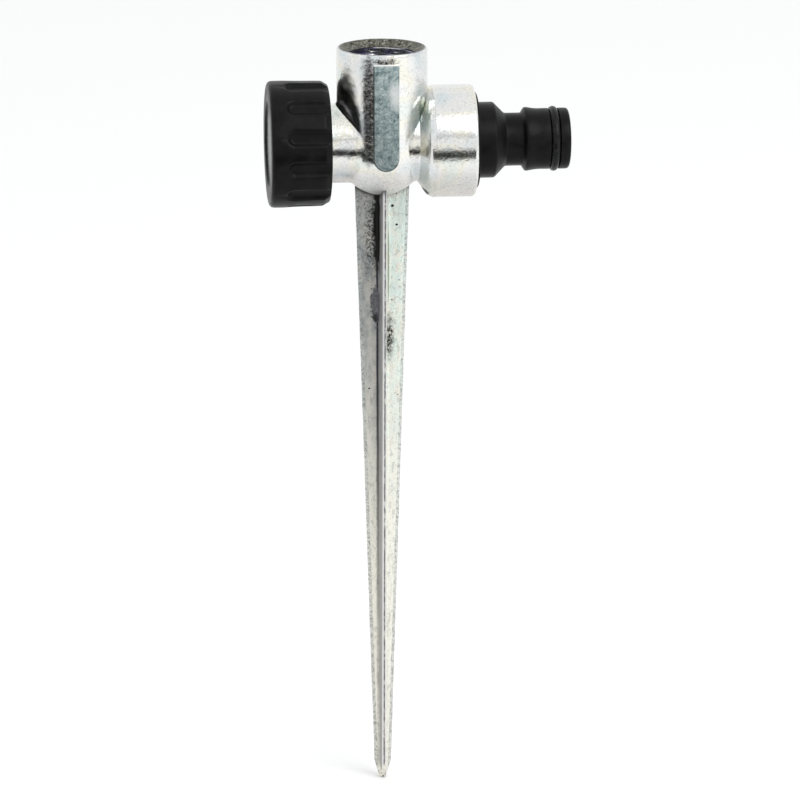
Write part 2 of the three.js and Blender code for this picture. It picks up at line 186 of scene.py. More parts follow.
def with_radius(axis, place, radius):
    """The same point, moved in or out to another distance from the axis."""
    centre = Vector((place.x, 0, RUN_Z)) if axis == "x" else Vector((0, 0, place.z))
    return centre + (place - centre).normalized() * radius


def cut_thread(bm, axis, core, start, end, female=False, fade=0.8):
    """Presses a right-hand thread into the rows of a turned face whose radius is core. It
    dies away over the length fade at both ends."""
    crest_half = 0.085 * PITCH + (0.2 - THREAD_GAP / 2 if female else 0)
    flank = THREAD_DEPTH / 2
    for vert in bm.verts:
        along, radius, turn = about(axis, vert.co)
        if not start <= along <= end or abs(radius - core) > 0.02:
            continue
        off = abs((along / PITCH - turn + 0.5) % 1 - 0.5) * PITCH
        height = smoothstep(0, 1, (crest_half + flank - off) / flank)
        strength = min(1, (along - start) / fade, (end - along) / fade)
        vert.co = with_radius(axis, vert.co, core + THREAD_DEPTH * height * strength)


def finished(name, bm, materials, body, sharp=32, pick=None):
    """Scales a mesh to metres, and makes it a smooth-shaded piece that rides on a body. Its
    edges steeper than sharp degrees stay crisp, and pick gives a face's material."""
    bmesh.ops.scale(bm, vec=(MM, MM, MM), verts=bm.verts)
    for edge in bm.edges:
        edge.smooth = edge.calc_face_angle(0) < radians(sharp)
    for face in bm.faces:
        face.smooth = True
        if pick:
            face.material_index = pick(face.calc_center_median() / MM, face.normal)
    mesh = bpy.data.meshes.new(name)
    bm.to_mesh(mesh)
    bm.free()
    for material in materials:
        mesh.materials.append(material)
    piece = bpy.data.objects.new(name, mesh)
    bpy.context.scene.collection.objects.link(piece)
    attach(piece, body)
    return piece


def as_object(bm, name):
    mesh = bpy.data.meshes.new(name)
    bm.to_mesh(mesh)
    bm.free()
    made = bpy.data.objects.new(name, mesh)
    bpy.context.scene.collection.objects.link(made)
    return made


def evaluated(made):
    """The mesh that an object's modifiers give, as a new bmesh. The object is removed."""
    graph = bpy.context.evaluated_depsgraph_get()
    mesh = bpy.data.meshes.new_from_object(made.evaluated_get(graph))
    bm = bmesh.new()
    bm.from_mesh(mesh)
    bpy.data.objects.remove(made)
    bpy.data.meshes.remove(mesh)
    return bm


def combined(base, steps):
    """Adds or cuts each (operation, bmesh) of steps to or from a bmesh, in turn."""
    made = as_object(base, "work")
    tools = []
    for operation, bm in steps:
        tool = as_object(bm, "tool")
        modifier = made.modifiers.new(operation, "BOOLEAN")
        modifier.operation = operation
        modifier.solver = "MANIFOLD"
        modifier.object = tool
        tools.append(tool)
    result = evaluated(made)
    for tool in tools:
        bpy.data.objects.remove(tool)
    return result


# ------------------------------------------------------------------ the casting

def socket_and_dome():
    stretch = 1 + DOME_BULGE / SOCKET_RADIUS
    dome = [(along * stretch + DOME_Z, radius)
            for along, radius in arc((0, 0), SOCKET_RADIUS, 180, 90, 24)]
    return turned([*dome, (RIM_Z, SOCKET_RADIUS), (RIM_Z, 0)], "z", PLAIN_STEPS)


def tube():
    start, end = -16.2, 10.2
    return turned([(start, 0), (start, RUN_RADIUS), (end, RUN_RADIUS), (end, 0)], "x", PLAIN_STEPS)


def cast_skin():
    """Socket, dome and tube grown into one skin, with the small fillets and the slightly
    uneven faces that a die casting has."""
    made = as_object(socket_and_dome(), "skin")
    run = as_object(tube(), "run")
    union = made.modifiers.new("union", "BOOLEAN")
    union.operation, union.solver, union.object = "UNION", "MANIFOLD", run
    remesh = made.modifiers.new("remesh", "REMESH")
    remesh.mode, remesh.voxel_size = "VOXEL", VOXEL
    smooth = made.modifiers.new("smooth", "SMOOTH")
    smooth.factor, smooth.iterations = 0.5, 8
    bm = evaluated(made)
    bpy.data.objects.remove(run)
    bm.normal_update()
    for vert in bm.verts:
        swell = noise.noise(vert.co * 0.22) * 0.05 + noise.noise(vert.co * 0.9) * 0.012
        vert.co += vert.normal * swell
    return bm


def cup():
    """The inlet cup: a cast shoulder that grows out of the tube, then a turned band."""
    start = 8.6
    corners = [
        (start, 0), (start, RUN_RADIUS - 0.6), (9.5, RUN_RADIUS - 0.1, 0.5), (10.4, 12.0, 0.9),
        (12.0, CUP_RADIUS - 0.75, 1.6), (13.5, CUP_RADIUS - 0.12, 0.5), (13.55, CUP_RADIUS - 0.1),
        (13.6, CUP_RADIUS), (CUP_END_X, CUP_RADIUS, 1.15), (CUP_END_X, 0),
    ]
    return turned(softened(corners, 6), "x")


def outlet_stub():
    """The outlet's male thread, with its chamfered lead and the relief behind it."""
    start, end = OUTLET_END_X, OUTLET_THREAD_END_X
    corners = [
        (start, 0), (start, LARGE_ROOT_RADIUS - 0.9), (start + 0.7, LARGE_ROOT_RADIUS),
        (end, LARGE_ROOT_RADIUS), (end + 1.2, RUN_RADIUS - 0.15), (end + 2.2, RUN_RADIUS - 0.3),
        (end + 2.2, 0),
    ]
    outline = stretched(softened(corners), start + 0.6, end, THREAD_ROW)
    bm = turned(outline, "x")
    cut_thread(bm, "x", LARGE_ROOT_RADIUS, start + 0.7, end)
    return bm


def pad(side):
    """A raised flat pad with a round lower end, on the socket's front (-1) or back (1)."""
    half = PAD_WIDTH / 2
    bm = bmesh.new()
    corners = [(half, PAD_TOP_Z), (-half, PAD_TOP_Z)]
    corners += [(half * cos(radians(a)), PAD_FOOT_Z + half * sin(radians(a)))
                for a in range(180, 361, 10)]
    front = bm.faces.new([bm.verts.new((x, side * PAD_FRONT, z)) for x, z in corners])
    inner = bmesh.ops.extrude_face_region(bm, geom=[front])["geom"]
    moved = [v for v in inner if isinstance(v, bmesh.types.BMVert)]
    bmesh.ops.translate(bm, vec=(0, -side * 2.6, 0), verts=moved)
    bmesh.ops.recalc_face_normals(bm, faces=bm.faces)
    rim = [e for e in bm.edges if all(abs(v.co.y - side * PAD_FRONT) < 1e-4 for v in e.verts)]
    bmesh.ops.bevel(bm, geom=rim, offset=0.22, segments=3, profile=0.5, affect="EDGES",
                    material=-1)
    return bm


def socket_hole():
    """The socket's bevelled mouth, its thread, and the drilled hole down to the cross bore."""
    bevel_z = RIM_Z - 1.8
    foot_z = bevel_z - 11.5
    thread_z = foot_z + 0.72
    drilled, mouth = 8.6, 11.6
    corners = [
        (RUN_Z - 5.2, 0), (RUN_Z, drilled), (foot_z, drilled, 0.3), (thread_z, SOCKET_ROOT_RADIUS),
        (bevel_z, SOCKET_ROOT_RADIUS), (bevel_z + 0.5, SOCKET_ROOT_RADIUS + 0.9, 0.3),
        (RIM_Z + 0.02, mouth), (RIM_Z + 2, mouth), (RIM_Z + 2, 0),
    ]
    outline = stretched(softened(corners), thread_z, bevel_z, THREAD_ROW)
    bm = turned(outline, "z")
    cut_thread(bm, "z", SOCKET_ROOT_RADIUS, thread_z, bevel_z, fade=0.5)
    return bm


def run_hole():
    """The cross bore from the outlet's end, and the cup's threaded hole with its mouth."""
    hole = LARGE_ROOT_RADIUS + THREAD_GAP
    mouth_x = CUP_END_X - 1
    thread_end = mouth_x - 0.6
    corners = [
        (OUTLET_END_X - 1, 0), (OUTLET_END_X - 1, RUN_BORE_RADIUS + 0.4),
        (OUTLET_END_X, RUN_BORE_RADIUS + 0.4), (OUTLET_END_X + 0.4, RUN_BORE_RADIUS),
        (CUP_FLOOR_X, RUN_BORE_RADIUS, 0.3), (CUP_FLOOR_X, hole - 0.3), (CUP_FLOOR_X + 0.3, hole),
        (thread_end, hole), (mouth_x, LARGE_CREST_RADIUS + 0.3),
        (CUP_END_X - 0.25, LARGE_CREST_RADIUS + 0.3), (CUP_END_X + 1, LARGE_CREST_RADIUS + 1.3),
        (CUP_END_X + 1, 0),
    ]
    outline = stretched(softened(corners), CUP_FLOOR_X + 0.3, thread_end, THREAD_ROW)
    bm = turned(outline, "x")
    cut_thread(bm, "x", hole, CUP_FLOOR_X + 0.6, thread_end, female=True, fade=0.5)
    return bm


def spike_section():
    """The spike's cross section at its top, as a list of corners. The side fins have bevelled
    edges, the front and back fins have square ones, and the roots are filleted."""
    root, fillet = ROOT_HALF, ROOT_FILLET
    side_fin = [(FIN_SPAN, 0.22), (FIN_SPAN - 0.1, 0.33), (FIN_SPAN - 0.85, 0.56),
                (FIN_SPAN - 0.95, 0.6)]
    front_fin = [(FIN_SPAN, 0.4), (FIN_SPAN - 0.08, 0.5), (FIN_SPAN - 0.25, 0.56)]
    between = [((root + fillet) + (FIN_SPAN - 1.2 - root - fillet) * t, root - (root - 0.62) * t)
               for t in (0.8, 0.6, 0.4, 0.2)]
    corner = arc((root + fillet, root + fillet), fillet, 270, 180, 8)
    quarter = side_fin + between + corner + [(y, x) for x, y in reversed(between)]
    quarter += [(y, x) for x, y in reversed(front_fin)]
    quarters = [
        quarter,
        [(-x, y) for x, y in reversed(quarter)],
        [(-x, -y) for x, y in quarter],
        [(x, -y) for x, y in reversed(quarter)],
    ]
    return [point for part in quarters for point in part]


def taper(value, span, root_scale):
    """Where a corner of the top section goes to, in a section whose fins reach to span."""
    size = abs(value)
    past = (size - ROOT_HALF) / (FIN_SPAN - ROOT_HALF)
    moved = ROOT_HALF + past * (span - ROOT_HALF) if past > 0 else size
    return moved * root_scale * (1 if value > 0 else -1)


def spike():
    """The cross-finned spike, drawn down from its top section, with small dents and waves."""
    bm = bmesh.new()
    ring = [bm.verts.new((x, y, SPIKE_TOP_Z)) for x, y in spike_section()]
    edges = [bm.edges.new(pair) for pair in zip(ring, ring[1:] + ring[:1])]
    bm.faces.new(ring)
    point = [POINT_Z - 0.6 * k for k in range(8)] + [TIP_Z + 0.45, TIP_Z + 0.2, TIP_Z + 0.05, TIP_Z]
    stations = [SPIKE_TOP_Z + (POINT_Z - SPIKE_TOP_Z) * k / FIN_ROWS for k in range(1, FIN_ROWS)]
    last = SPIKE_TOP_Z
    for z in stations + point:
        drawn = bmesh.ops.extrude_edge_only(bm, edges=edges)["geom"]
        edges = [g for g in drawn if isinstance(g, bmesh.types.BMEdge)]
        verts = [g for g in drawn if isinstance(g, bmesh.types.BMVert)]
        bmesh.ops.translate(bm, vec=(0, 0, z - last), verts=verts)
        last = z
    bmesh.ops.edgenet_fill(bm, edges=edges)
    slope = (FIN_SPAN - FIN_FOOT_SPAN) / (SPIKE_TOP_Z - POINT_Z)
    for vert in bm.verts:
        z = vert.co.z
        if z >= POINT_Z:
            span, scale = FIN_FOOT_SPAN + slope * (z - POINT_Z), 1.0
        else:
            below = (POINT_Z - z) / (POINT_Z - TIP_Z)
            span = FIN_FOOT_SPAN - 1.15 * below
            scale = 1 - 0.35 * below ** 2 - 0.5 * smoothstep(0.9, 1, below) ** 2
        vert.co.x, vert.co.y = taper(vert.co.x, span, scale), taper(vert.co.y, span, scale)
    bmesh.ops.recalc_face_normals(bm, faces=bm.faces)
    bm.normal_update()
    for vert in bm.verts:
        wave = noise.noise(Vector((vert.co.x * 0.5, vert.co.y * 0.5, vert.co.z * 0.16))) * 0.09
        vert.co += vert.normal * (wave + noise.noise(vert.co * 1.1) * 0.025)
    return bm


def casting_finish(centre, normal):
    """Which of the casting's finishes a face has."""
    x, y, z = centre
    from_run = hypot(y, z - RUN_Z)
    on_fin = z < SPIKE_TOP_Z and hypot(x, y) < FIN_SPAN + 0.4 and abs(normal.z) < 0.5
    if on_fin or z < DOME_Z - SOCKET_RADIUS - DOME_BULGE - 0.2:
        return SPIKE
    if abs(y) > PAD_FRONT - 0.08 and abs(x) < PAD_WIDTH / 2 + 0.1 and z > DOME_Z - 5:
        return PAD
    if z > RIM_Z - 1.95 and hypot(x, y) < 11.75:
        return MOUTH
    inside_run = from_run < RUN_RADIUS - 0.5 or (x > CUP_FLOOR_X - 1 and from_run < 14)
    inside_socket = hypot(x, y) < SOCKET_RADIUS - 0.4 and z > RUN_Z + 8
    if inside_run or inside_socket or x < OUTLET_END_X + 10.5:
        return TURNED
    return POLISHED


def spike_casting():
    bm = combined(cast_skin(), [
        ("UNION", cup()),
        ("UNION", outlet_stub()),
        ("UNION", pad(-1)),
        ("UNION", pad(1)),
        ("UNION", spike()),
        ("DIFFERENCE", run_hole()),
        ("DIFFERENCE", socket_hole()),
    ])
    bmesh.ops.dissolve_degenerate(bm, dist=1e-4, edges=bm.edges)
    materials = [polished_zinc(), pad_zinc(), spike_zinc(), turned_zinc(), mouth_zinc()]
    piece = finished("spike_casting_skin", bm, materials, "casting", 30,
                     casting_finish)
    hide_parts("spike_casting")
    return piece


# ------------------------------------------------------------------ the outlet cap

FLUTE_STEP = 360 / 12
FLUTE_HALF = 2.45
FLUTE_DEPTH = 1.0
FLUTE_TURN = 17


def press_flutes(bm):
    """Presses the grip flutes into the cap's side: soft scoops with one round end."""
    round_x = CAP_HIGH.x - 12.4 + FLUTE_HALF
    for vert in bm.verts:
        along, radius, turn = about("x", vert.co)
        if radius < LARGE_CREST_RADIUS + 1.2 or along < CAP_LOW.x + 0.5:
            continue
        from_front = 180 - turn * 360 - FLUTE_TURN
        off = ((from_front + FLUTE_STEP / 2) % FLUTE_STEP - FLUTE_STEP / 2) * pi / 180 * radius
        reach = abs(off) if along > round_x else hypot(off, along - round_x)
        dish = 1 - 0.12 * (1 - min(1, abs(off) / FLUTE_HALF))
        side = smoothstep(FLUTE_HALF - 1.25, FLUTE_HALF + 0.15, reach)
        depth = FLUTE_DEPTH * (1 - side) * (2 - dish)
        if depth > 0:
            vert.co = with_radius("x", vert.co, min(radius, CAP_RADIUS - 0.1 - depth))


def cap_finish(centre, normal):
    """The recessed disc in the cap's end face is smoother than the rest."""
    in_disc = centre.x < CAP_LOW.x + 1 and hypot(centre.y, centre.z - RUN_Z) < 11.3
    return 1 if in_disc and normal.x < -0.9 else 0


def outlet_cap():
    low, high = CAP_LOW.x, CAP_HIGH.x
    floor_x = CAP_WASHER_LOW.x - SEAT_GAP
    hole = LARGE_ROOT_RADIUS + THREAD_GAP
    mouth = LARGE_CREST_RADIUS + THREAD_GAP + 0.3
    thread_end = high - 1.9
    corners = [
        (low + 0.7, 0), (low + 0.7, 11.2, 0.3), (low, 11.9, 0.35), (low, CAP_RADIUS, 1.5),
        (low + 4.1, CAP_RADIUS), (high - 1.75, CAP_RADIUS - 0.22, 0.35),
        (high, CAP_RADIUS - 1.3, 0.35), (high, mouth, 0.25), (high - 1.2, mouth),
        (thread_end, hole), (floor_x, hole, 0.3), (floor_x, 0),
    ]
    outline = softened(corners, 6)
    face = next(i for i, p in enumerate(outline) if p.x > high - 1e-3)
    outside = stretched(outline[:face + 1], low + 3.9, high, 0.3)
    inside = stretched(outline[face:], floor_x + 0.3, thread_end, THREAD_ROW)
    bm = turned(outside + inside[1:], "x", CAP_STEPS)
    press_flutes(bm)
    cut_thread(bm, "x", hole, OUTLET_END_X - 0.4, thread_end, female=True, fade=0.5)
    materials = [black_plastic(), smooth_black()]
    piece = finished("outlet_cap_fluted", bm, materials, "cap", 40, cap_finish)
    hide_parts("outlet_cap")
    return piece


# ------------------------------------------------------------------ the hose adapter

def inlet_adapter():
    start, end = ADAPTER_LOW.x, ADAPTER_HIGH.x
    flange = CUP_END_X + 0.75
    collar = flange + 4.65
    neck = collar + 3.1
    lip = neck + 4.6
    groove_start, groove_end = O_RING_LOW.x - 0.15, O_RING_HIGH.x + 0.15
    groove = O_RING_HIGH.y - 2.5
    barrel, collar_radius, neck_radius = 8.42, 10.45, 7.3
    wide_bore, bore = 9.0, 4.8
    corners = [
        (start, wide_bore, 0.2), (start, LARGE_ROOT_RADIUS - 0.7, 0.2),
        (start + 0.7, LARGE_ROOT_RADIUS), (flange - 1.6, LARGE_ROOT_RADIUS),
        (flange - 1.2, LARGE_ROOT_RADIUS, 0.1), (flange - 1.2, LARGE_CREST_RADIUS, 0.15),
        (flange, LARGE_CREST_RADIUS, 0.3), (flange, collar_radius, 0.25),
        (collar, collar_radius, 0.4), (neck, neck_radius, 0.5), (lip, neck_radius, 0.3),
        (lip + 0.95, 8.8, 0.4), (lip + 1.7, 8.78, 0.3), (lip + 4.0, 8.36, 1.4),
        (groove_start, barrel, 0.2), (groove_start, groove, 0.3), (groove_end, groove, 0.3),
        (groove_end, barrel, 0.2), (end, barrel, 1.0), (end, bore, 0.35), (neck, bore, 0.8),
        (collar - 4, wide_bore, 0.8),
    ]
    outline = stretched(softened(corners, 5), start + 0.7, flange - 1.6, THREAD_ROW)
    bm = turned(outline, "x", 200, closed=True)
    cut_thread(bm, "x", LARGE_ROOT_RADIUS, start + 0.7, flange - 1.6)
    piece = finished("inlet_adapter_spigot", bm, [black_plastic()], "adapter", 40)
    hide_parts("inlet_adapter")
    return piece


def o_ring():
    centre_x = (O_RING_LOW.x + O_RING_HIGH.x) / 2
    section = (O_RING_HIGH.x - O_RING_LOW.x) / 2
    circle = arc((centre_x, O_RING_HIGH.y - section), section, 0, 345, 23)
    bm = turned(circle, "x", PLAIN_STEPS, closed=True)
    for vert in bm.verts:
        out = (vert.co - Vector((centre_x, 0, RUN_Z))).normalized()
        vert.co += out * noise.noise(vert.co * 0.5) * 0.03
    piece = finished("o_ring_rubber", bm, [black_rubber()], "adapter")
    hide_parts("inlet_adapter_o_ring")
    return piece


def washer(name, low, high, body, node):
    outer, inner = high.y, RUN_BORE_RADIUS + 0.4
    corners = [(low.x, inner, 0.2), (low.x, outer, 0.3), (high.x, outer, 0.3), (high.x, inner, 0.2)]
    bm = turned(softened(corners), "x", PLAIN_STEPS, closed=True)
    piece = finished(name, bm, [black_rubber()], body)
    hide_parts(node)
    return piece


# ------------------------------------------------------------------ materials

class Finish:
    """A material being built: short calls that add and join its nodes."""

    def __init__(self, name, metallic=0.0, specular=0.5):
        self.material = bpy.data.materials.new(name)
        self.material.use_nodes = True
        self.tree = self.material.node_tree
        self.tree.nodes.clear()
        self.shader = self.tree.nodes.new("ShaderNodeBsdfPrincipled")
        self.shader.inputs["Metallic"].default_value = metallic
        self.shader.inputs["Specular IOR Level"].default_value = specular
        output = self.tree.nodes.new("ShaderNodeOutputMaterial")
        self.tree.links.new(self.shader.outputs[0], output.inputs[0])
        coordinates = self.tree.nodes.new("ShaderNodeTexCoord")
        self.mm = self.add("VectorMath", {0: coordinates.outputs["Object"], "Scale": 1 / MM},
                           operation="SCALE")

    def add(self, kind, inputs, output=0, **settings):
        node = self.tree.nodes.new("ShaderNode" + kind)
        for key, value in settings.items():
            setattr(node, key, value)
        for key, value in inputs.items():
            if isinstance(value, bpy.types.NodeSocket):
                self.tree.links.new(value, node.inputs[key])
            else:
                node.inputs[key].default_value = value
        return node.outputs[output]

    def noise(self, scale, detail=4.0, roughness=0.55, stretch=(1, 1, 1), offset=0.0, warp=0.0):
        place = self.add("Mapping", {"Vector": self.mm, "Location": (offset,) * 3,
                                     "Scale": stretch})
        return self.add("TexNoise", {"Vector": place, "Scale": scale, "Detail": detail,
                                     "Roughness": roughness, "Distortion": warp})

    def between(self, value, low, high, start=0.0, end=1.0):
        return self.add("MapRange", {"Value": value, "From Min": low, "From Max": high,
                                     "To Min": start, "To Max": end},
                        interpolation_type="SMOOTHSTEP")

    def along(self, axis):
        """A place's millimetres along X, Y or Z."""
        return self.add("SeparateXYZ", {"Vector": self.mm}, axis)

    def maths(self, operation, a, b=0.0, c=0.0):
        return self.add("Math", {0: a, 1: b, 2: c}, operation=operation)

    def times(self, a, b):
        return self.maths("MULTIPLY", a, b)

    def mixed(self, share, a, b):
        def colour(value):
            return (*value, 1) if isinstance(value, tuple) and len(value) == 3 else value
        node = self.tree.nodes.new("ShaderNodeMix")
        node.data_type = "RGBA"
        for key, value in ((0, share), (6, colour(a)), (7, colour(b))):
            if isinstance(value, bpy.types.NodeSocket):
                self.tree.links.new(value, node.inputs[key])
            else:
                node.inputs[key].default_value = value
        return node.outputs[2]

    def ramp(self, value, *stops):
        node = self.tree.nodes.new("ShaderNodeValToRGB")
        self.tree.links.new(value, node.inputs[0])
        elements = node.color_ramp.elements
        while len(elements) < len(stops):
            elements.new(1)
        for element, (place, colour) in zip(elements, stops):
            element.position, element.color = place, (*colour, 1)
        return node.outputs[0]

    def spot(self, centre, reach, edge=0.35, ragged=0.5, grain=0.8):
        """A blotch with a ragged edge, around a place in millimetres."""
        away = self.add("VectorMath", {0: self.mm, 1: centre}, operation="SUBTRACT")
        scaled = self.add("VectorMath", {0: away, 1: reach}, operation="DIVIDE")
        far = self.add("VectorMath", {0: scaled}, output="Value", operation="LENGTH")
        rough = self.maths("MULTIPLY_ADD", self.noise(grain, 5, 0.7), ragged * 2, -ragged)
        return self.between(self.maths("ADD", far, rough), 1 - edge, 1 + edge, 1, 0)

    def surface(self, colour=None, roughness=None, height=None, height_mm=0.02):
        """Joins colour, roughness and a height pattern to the shader."""
        for name, value in (("Base Color", colour), ("Roughness", roughness)):
            if value is not None:
                self.tree.links.new(value, self.shader.inputs[name])
        if height is not None:
            bump = self.add("Bump", {"Height": height, "Distance": height_mm * MM, "Strength": 1.0})
            self.tree.links.new(bump, self.shader.inputs["Normal"])
        return self.material


def zinc_tints(finish):
    """Silver with the faint yellow, green and blue of a passivated zinc skin."""
    drift = finish.noise(0.1, 1, 0.4, warp=0.2)
    return finish.ramp(drift, (0.30, (0.66, 0.74, 0.76)), (0.42, (0.78, 0.80, 0.79)),
                       (0.50, (0.82, 0.82, 0.80)), (0.58, (0.84, 0.82, 0.73)),
                       (0.68, (0.77, 0.81, 0.77)))


def polished_zinc():
    finish = Finish("polished cast zinc", metallic=1.0)
    grain = finish.noise(1.9, 5, 0.7)
    cloud = finish.noise(0.35, 4, 0.6, offset=7)
    pits = finish.between(finish.noise(1.3, 5, 0.8, offset=31), 0.66, 0.72)
    colour = zinc_tints(finish)
    colour = finish.mixed(finish.between(grain, 0.47, 0.75, 0.0, 0.5), colour, (0.26, 0.27, 0.27))
    colour = finish.mixed(finish.between(cloud, 0.50, 0.74, 0.0, 0.25), colour, (0.44, 0.45, 0.43))
    colour = finish.mixed(finish.times(pits, 0.85), colour, (0.045, 0.04, 0.035))
    # Painted reflection: a dark speckled strip just above the pad stands in for the socket's dark
    # reflection there.
    reflection_above_pad = finish.spot((0, -SOCKET_RADIUS, PAD_TOP_Z + 0.75), (3.4, 2, 0.8), 0.3, 0.5, 1.3)
    specks = finish.between(finish.noise(1.6, 5, 0.8, offset=41), 0.46, 0.54)
    colour = finish.mixed(finish.times(reflection_above_pad, specks), colour, (0.05, 0.045, 0.04))
    z = finish.along("Z")
    flat = finish.add("VectorMath", {0: finish.mm, 1: (1, 1, 0)}, operation="MULTIPLY")
    from_socket = finish.add("VectorMath", {0: flat}, output="Value", operation="LENGTH")
    # Painted reflection: a dark teal patch on the socket's lower right, beside the cup, stands in
    # for the cup's reflection.
    cup_reflection = finish.times(finish.spot((9.8, -7.6, 28.5), (3.4, 5, 8), 0.7, 0.15, 0.3),
                       finish.between(from_socket, 12.7, 13.0, 1, 0))
    colour = finish.mixed(finish.times(cup_reflection, 0.75), colour, (0.13, 0.19, 0.18))
    # Painted reflection: a dark speckled band down the socket, left of the pad, stands in for a
    # dark reflection there.
    reflection_beside_pad = finish.spot((-4.6, -11.5, 33), (1.5, 4, 14.5), 0.25, 0.35, 1.1)
    reflection_beside_pad = finish.times(reflection_beside_pad, finish.between(z, 22, 36, 0.5, 1))
    colour = finish.mixed(finish.times(reflection_beside_pad, 0.6), colour, (0.13, 0.12, 0.125))
    band_reflection_specks = finish.times(reflection_beside_pad, finish.times(specks, 0.8))
    colour = finish.mixed(band_reflection_specks, colour, (0.035, 0.03, 0.035))
    # Painted shade: the dome's lower part turns greyer and mottled, standing in for the shaded
    # floor it reflects. Its roughness also rises there.
    shaded_underside = finish.between(z, DOME_Z - 4, DOME_Z - 9, 0, 1)
    colour = finish.mixed(finish.times(shaded_underside, 0.6), colour, (0.78, 0.75, 0.72))
    mottled_underside_shade = finish.times(shaded_underside, finish.between(grain, 0.5, 0.66, 0, 0.45))
    colour = finish.mixed(mottled_underside_shade, colour, (0.36, 0.34, 0.33))
    # Painted shade: a black patch on the underside of the cup's shoulder, at the front.
    shoulder_shade = finish.spot((11.3, -3, RUN_Z - 13.4), (1.2, 6, 1.3), 0.25, 0.5, 1.0)
    colour = finish.mixed(shoulder_shade, colour, (0.012, 0.014, 0.015))
    skin = finish.between(grain, 0.3, 0.8, 0.09, 0.24)
    roughness = finish.maths("MULTIPLY_ADD", shaded_underside, 0.38, skin)
    wave = finish.noise(0.9, 4, 0.6, offset=19)
    rippled = finish.maths("MULTIPLY_ADD", wave, 2.4, grain)
    height = finish.maths("MULTIPLY_ADD", pits, -0.8, rippled)
    return finish.surface(colour, roughness, height, 0.024)


def mouth_zinc():
    finish = Finish("scuffed socket mouth", metallic=1.0)
    specks = finish.noise(1.4, 6, 0.8, offset=3)
    colour = finish.ramp(specks, (0.40, (0.03, 0.028, 0.022)), (0.52, (0.15, 0.15, 0.125)),
                         (0.66, (0.46, 0.47, 0.41)))
    return finish.surface(colour, finish.between(specks, 0.3, 0.7, 0.25, 0.5), specks, 0.05)


def pad_zinc():
    finish = Finish("etched pad zinc", metallic=1.0)
    grain = finish.noise(0.75, 6, 0.72, offset=3)
    fine = finish.noise(2.4, 4, 0.7, offset=11)
    colour = finish.ramp(grain, (0.34, (0.13, 0.18, 0.18)), (0.48, (0.36, 0.45, 0.45)),
                         (0.64, (0.62, 0.70, 0.68)))
    colour = finish.mixed(finish.between(fine, 0.46, 0.66, 0, 0.6), colour, (0.12, 0.16, 0.17))
    x, z = finish.along("X"), finish.along("Z")
    below = finish.maths("MINIMUM", finish.maths("SUBTRACT", z, PAD_FOOT_Z), 0)
    squares = finish.maths("ADD", finish.times(x, x), finish.times(below, below))
    out = finish.maths("SQRT", squares)
    # Painted shadow: a dark line along the pad's left side and round lower end, fading out towards
    # its right side, where the light falls.
    across = finish.maths("ADD", x, finish.times(below, 0.8))
    lit_side = finish.between(across, 1.2, 2.6, 1, 0.15)
    outline = finish.times(finish.between(out, 3.05, 3.4), lit_side)
    colour = finish.mixed(finish.times(outline, 0.85), colour, (0.035, 0.035, 0.035))
    # Painted highlight: a pale line along the pad's top edge.
    top_edge_highlight = finish.between(z, PAD_TOP_Z - 0.45, PAD_TOP_Z - 0.3)
    colour = finish.mixed(top_edge_highlight, colour, (0.95, 0.95, 0.94))
    smear = finish.spot((2.7, -PAD_FRONT, 37.5), (1.7, 2, 3.2), 0.6, 0.5, 0.6)
    colour = finish.mixed(finish.times(smear, 0.75), colour, (0.86, 0.88, 0.87))
    roughness = finish.between(fine, 0.3, 0.7, 0.3, 0.5)
    return finish.surface(colour, roughness, finish.maths("MULTIPLY_ADD", grain, 2, fine), 0.03)


def turned_zinc():
    finish = Finish("turned zinc", metallic=1.0)
    grain = finish.noise(3.0, 5, 0.7, offset=5)
    cloud = finish.noise(0.25, 2, 0.5, offset=2)
    tint = finish.ramp(cloud, (0.4, (0.52, 0.52, 0.50)), (0.6, (0.40, 0.40, 0.54)))
    colour = finish.mixed(finish.between(grain, 0.35, 0.75, 0, 0.5), tint, (0.22, 0.22, 0.24))
    return finish.surface(colour, finish.between(grain, 0.3, 0.8, 0.18, 0.36), grain, 0.012)


